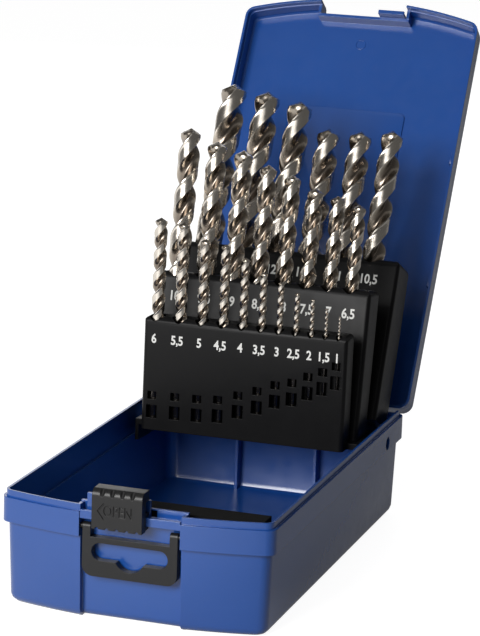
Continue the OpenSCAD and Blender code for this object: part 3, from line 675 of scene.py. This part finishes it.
class CASE_OT_engraving(bpy.types.Operator):
    """Engraves the arrow and the word OPEN in the latch slider"""

    bl_idname = "case.engraving"
    bl_label = "Slider engraving"

    def execute(self, context):
        piece = bpy.data.objects["slider_moulding"]
        low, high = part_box("latch_slider")
        front = low[1] / MM
        middle = (low[0] + high[0]) / 2 / MM
        # The cutter is twice as thick as half and stands a little out of the slider's front.
        line_z, word_w, half, stand = 48.2, 12.1, 0.6, 0.25
        word = flat_text("OPEN", 6.3, "word", 0.06, half)
        wide = max(v.co.x for v in word.vertices) - min(v.co.x for v in word.vertices)
        narrow = Matrix.Diagonal((word_w / wide, 1.0, 1.0, 1.0))
        word.transform(Matrix.Translation((0.5, 0.0, 0)) @ narrow)
        bm = bmesh.new()
        bm.from_mesh(word)
        bpy.data.meshes.remove(word)
        tip, wing, reach, stroke = -8.4, 3.4, 2.7, 0.42
        outline = (
            (tip, 0), (tip + reach, wing), (tip + reach + stroke, wing - stroke),
            (tip + 1.7 * stroke, 0), (tip + reach + stroke, stroke - wing), (tip + reach, -wing),
        )
        arrow = bm.faces.new([bm.verts.new((x, y, -half)) for x, y in outline])
        arrow.normal_update()
        grown = bmesh.ops.extrude_face_region(bm, geom=[arrow], use_keep_orig=True)["geom"]
        raised = [g for g in grown if isinstance(g, bmesh.types.BMVert)]
        bmesh.ops.translate(bm, verts=raised, vec=(0, 0, 2 * half))
        bmesh.ops.remove_doubles(bm, verts=bm.verts, dist=0.0001)
        bmesh.ops.recalc_face_normals(bm, faces=bm.faces)
        spot = Matrix.Scale(MM, 4) @ Matrix.Translation((middle, front - stand, line_z))
        bmesh.ops.transform(bm, matrix=spot @ Matrix.Rotation(math.pi / 2, 4, "X"), verts=bm.verts)
        cutter = bpy.data.meshes.new("engraving")
        bm.to_mesh(cutter)
        bm.free()
        carve(piece, cutter)
        return {"FINISHED"}


class CASE_OT_mouldings(bpy.types.Operator):
    """Makes the tray, the lid, the latch slider, the hanger and the foam strip"""

    bl_idname = "case.mouldings"
    bl_label = "Mouldings"

    def execute(self, context):
        for node, name, mat, slot, body in (
            ("base_tray", "tray_moulding", "case", "blue_case", "base"),
            ("lid_shell", "lid_moulding", "case", "blue_case", "lid"),
            ("latch_slider", "slider_moulding", "latch", "black_latch", "latch_slider"),
            ("hanger", "hanger_moulding", "latch", "black_latch", "hanger"),
            ("foam_strip", "foam_block", "foam", "foam", "base"),
        ):
            smooth_copy(node, name, finish(mat), body)
        return {"FINISHED"}


class CASE_OT_pins(bpy.types.Operator):
    """Gives the hinge pins, the pivot pins and the blocks' arms their finish"""

    bl_idname = "case.pins"
    bl_label = "Pins"

    def execute(self, context):
        for side in ("left", "right"):
            for node, mat in (
                ("hinge_pin_" + side, "pin"), ("pivot_pin_" + side, "block"),
                ("front_arm_" + side, "block"), ("middle_arm_" + side, "block"),
            ):
                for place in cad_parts[node].material_slots:
                    place.material = finish(mat)
        return {"FINISHED"}


# ---------------------------------------------------------------------- stage

# Strengths for rays that see the floor or the world directly, and for the world in reflections.
FLOOR_SEEN = 0.94
WORLD_SEEN = 1.0
WORLD_MIRRORED = 0.12

# The camera's place, the point that it looks at, in millimetres, and its roll in degrees.
EYE = (371.05, -1104.83, 379.31)
AIM = (11.65, -7.2, 107.78)
ROLL = 1.87


def area_light(name, where, aim, size, power, tint=(1.0, 1.0, 1.0)):
    """A soft rectangular light that looks at a point."""
    lamp = bpy.data.lights.new(name, "AREA")
    lamp.shape = "RECTANGLE"
    lamp.size, lamp.size_y = size
    lamp.energy = power
    lamp.color = tint
    holder = bpy.data.objects.new(name, lamp)
    holder.location = where
    holder.rotation_euler = (Vector(aim) - Vector(where)).to_track_quat("-Z", "Y").to_euler()
    bpy.context.scene.collection.objects.link(holder)


def floor_mirror(tree, place):
    """How brightly the floor glows in reflections, as painted light: bright before the case and at
    its left, dim elsewhere.
    """
    apart = add_node(tree, "ShaderNodeSeparateXYZ", None, {0: place})
    across = add_node(
        tree, "ShaderNodeMath", {1: 0.55}, {0: apart.outputs["Y"], 2: apart.outputs["X"]},
        operation="MULTIPLY_ADD",
    )
    return add_node(
        tree, "ShaderNodeMapRange",
        {"From Min": -0.16, "From Max": 0.06, "To Min": 1.0, "To Max": 0.17},
        {"Value": across.outputs[0]}, interpolation_type="SMOOTHSTEP",
    ).outputs["Result"]


def background(tree, seen, mirrored):
    """A strength for what the eye sees directly or through glass, and another for reflections."""
    path = add_node(tree, "ShaderNodeLightPath").outputs
    direct = add_node(
        tree, "ShaderNodeMath", None, {0: path["Is Camera Ray"], 1: path["Is Transmission Ray"]},
        operation="MAXIMUM",
    )
    plain = add_node(
        tree, "ShaderNodeMath", {1: seen}, {0: direct.outputs[0]}, operation="MULTIPLY"
    )
    gloss = add_node(
        tree, "ShaderNodeMath", None, {0: path["Is Glossy Ray"]}, operation="MULTIPLY"
    )
    if isinstance(mirrored, float):
        gloss.inputs[1].default_value = mirrored
    else:
        tree.links.new(mirrored, gloss.inputs[1])
    return add_node(
        tree, "ShaderNodeMath", None, {0: plain.outputs[0], 1: gloss.outputs[0]},
        operation="MAXIMUM",
    ).outputs[0]


def floor_material():
    """Pale painted board: white to the eye, a glow of painted light in reflections, and it keeps
    the shadow.
    """
    mat, tree = start_material("painted_board_pale")
    place = add_node(tree, "ShaderNodeTexCoord").outputs["Object"]
    mottle = add_node(tree, "ShaderNodeTexNoise", {"Scale": 6.0, "Detail": 2.0}, {"Vector": place})
    pale = tuple(bpy.context.scene.case_colours.floor)
    tint = blend(tree, mottle.outputs["Fac"], (*[0.95 * c for c in pale[:3]], 1.0), pale)
    shader = add_node(tree, "ShaderNodeBsdfPrincipled", {"Roughness": 0.8}, {"Base Color": tint})
    # In reflections the floor glows by its place: painted light.
    strength = background(tree, FLOOR_SEEN, floor_mirror(tree, place))
    glow = add_node(tree, "ShaderNodeEmission", {"Color": (1, 1, 1, 1)}, {"Strength": strength})
    surface = {0: shader.outputs["BSDF"], 1: glow.outputs[0]}
    both = add_node(tree, "ShaderNodeAddShader", None, surface)
    add_node(tree, "ShaderNodeOutputMaterial", None, {"Surface": both.outputs[0]})
    return mat


class CASE_OT_stage(bpy.types.Operator):
    """Makes the floor, the lights, the world and the camera"""

    bl_idname = "case.stage"
    bl_label = "Stage"

    def execute(self, context):
        scene = context.scene
        stage = scene.stage_settings
        bm = bmesh.new()
        bmesh.ops.create_grid(bm, x_segments=1, y_segments=1, size=6.0)
        mesh = bpy.data.meshes.new("floor")
        bm.to_mesh(mesh)
        bm.free()
        mesh.materials.append(floor_material())
        floor = bpy.data.objects.new("floor", mesh)
        scene.collection.objects.link(floor)
        # Places and sizes of the lights are in metres.
        warm = (1.0, 0.99, 0.98)
        area_light("key_light", (-0.35, -1.15, 0.58), (0, 0, 0.1), (0.6, 0.6), stage.key, warm)
        area_light("front_card", (-0.4, -1.45, 0.8), (0, 0, 0.3), (1.5, 1.4), stage.card)
        area_light("back_light", (-0.3, 1.4, 0.55), (0, 0, 0.1), (1.0, 0.6), stage.back)
        area_light("top_light", (-0.2, 0.0, 1.3), (0, 0, 0.05), (1.0, 1.0), stage.fill)
        world = bpy.data.worlds.new("studio")
        scene.world = world
        world.use_nodes = True
        tree = world.node_tree
        tree.nodes.clear()
        seen = background(tree, WORLD_SEEN, WORLD_MIRRORED)
        even = add_node(tree, "ShaderNodeMath", {1: stage.world}, {0: seen}, operation="MAXIMUM")
        sky = add_node(
            tree, "ShaderNodeBackground", {"Color": (1, 1, 1, 1)}, {"Strength": even.outputs[0]}
        )
        add_node(tree, "ShaderNodeOutputWorld", None, {"Surface": sky.outputs[0]})
        lens = bpy.data.cameras.new("camera")
        lens.lens = stage.lens
        lens.clip_start = 0.05
        lens.clip_end = 20.0
        camera = bpy.data.objects.new("camera", lens)
        place = Vector(EYE) * MM
        ahead = (Vector(AIM) * MM - place).normalized()
        right = ahead.cross(Vector((0, 0, 1))).normalized()
        up = right.cross(ahead)
        roll = math.radians(ROLL)
        tilted = right * math.cos(roll) + up * math.sin(roll)
        above = up * math.cos(roll) - right * math.sin(roll)
        turn = Matrix((tilted, above, -ahead)).transposed().to_4x4()
        camera.matrix_world = Matrix.Translation(place) @ turn
        scene.collection.objects.link(camera)
        scene.camera = camera
        scene.view_settings.view_transform = "Standard"
        return {"FINISHED"}


STEPS = (
    CASE_OT_stage, CASE_OT_mouldings, CASE_OT_lid_details, CASE_OT_engraving,
    CASE_OT_blocks, CASE_OT_labels, CASE_OT_drills, CASE_OT_pins,
)
GROUPS = {
    "case_colours": CaseColours,
    "drill_shape": DrillShape,
    "label_shape": LabelShape,
    "stage_settings": StageSettings,
}


class CASE_PT_panel(bpy.types.Panel):
    """Lists the steps that make the case"""

    bl_label = "Drill case"
    bl_space_type = "VIEW_3D"
    bl_region_type = "UI"
    bl_category = "Drill case"

    def draw(self, context):
        for step in STEPS:
            self.layout.operator(step.bl_idname)
        for name in GROUPS:
            group = getattr(context.scene, name)
            for prop in group.__annotations__:
                self.layout.prop(group, prop)


def register():
    """Adds the classes and the settings to Blender."""
    for cls in (*GROUPS.values(), *STEPS, CASE_PT_panel):
        bpy.utils.register_class(cls)
    for name, cls in GROUPS.items():
        setattr(bpy.types.Scene, name, PointerProperty(type=cls))


def unregister():
    """Takes the classes and the settings out again."""
    for name in GROUPS:
        delattr(bpy.types.Scene, name)
    for cls in reversed((*GROUPS.values(), *STEPS, CASE_PT_panel)):
        bpy.utils.unregister_class(cls)


def main():
    """Makes the whole scene."""
    register()
    bpy.ops.case.stage()
    bpy.ops.case.mouldings()
    bpy.ops.case.lid_details()
    bpy.ops.case.engraving()
    bpy.ops.case.blocks()
    bpy.ops.case.labels()
    bpy.ops.case.drills()
    bpy.ops.case.pins()


if __name__ == "__main__":
    main()
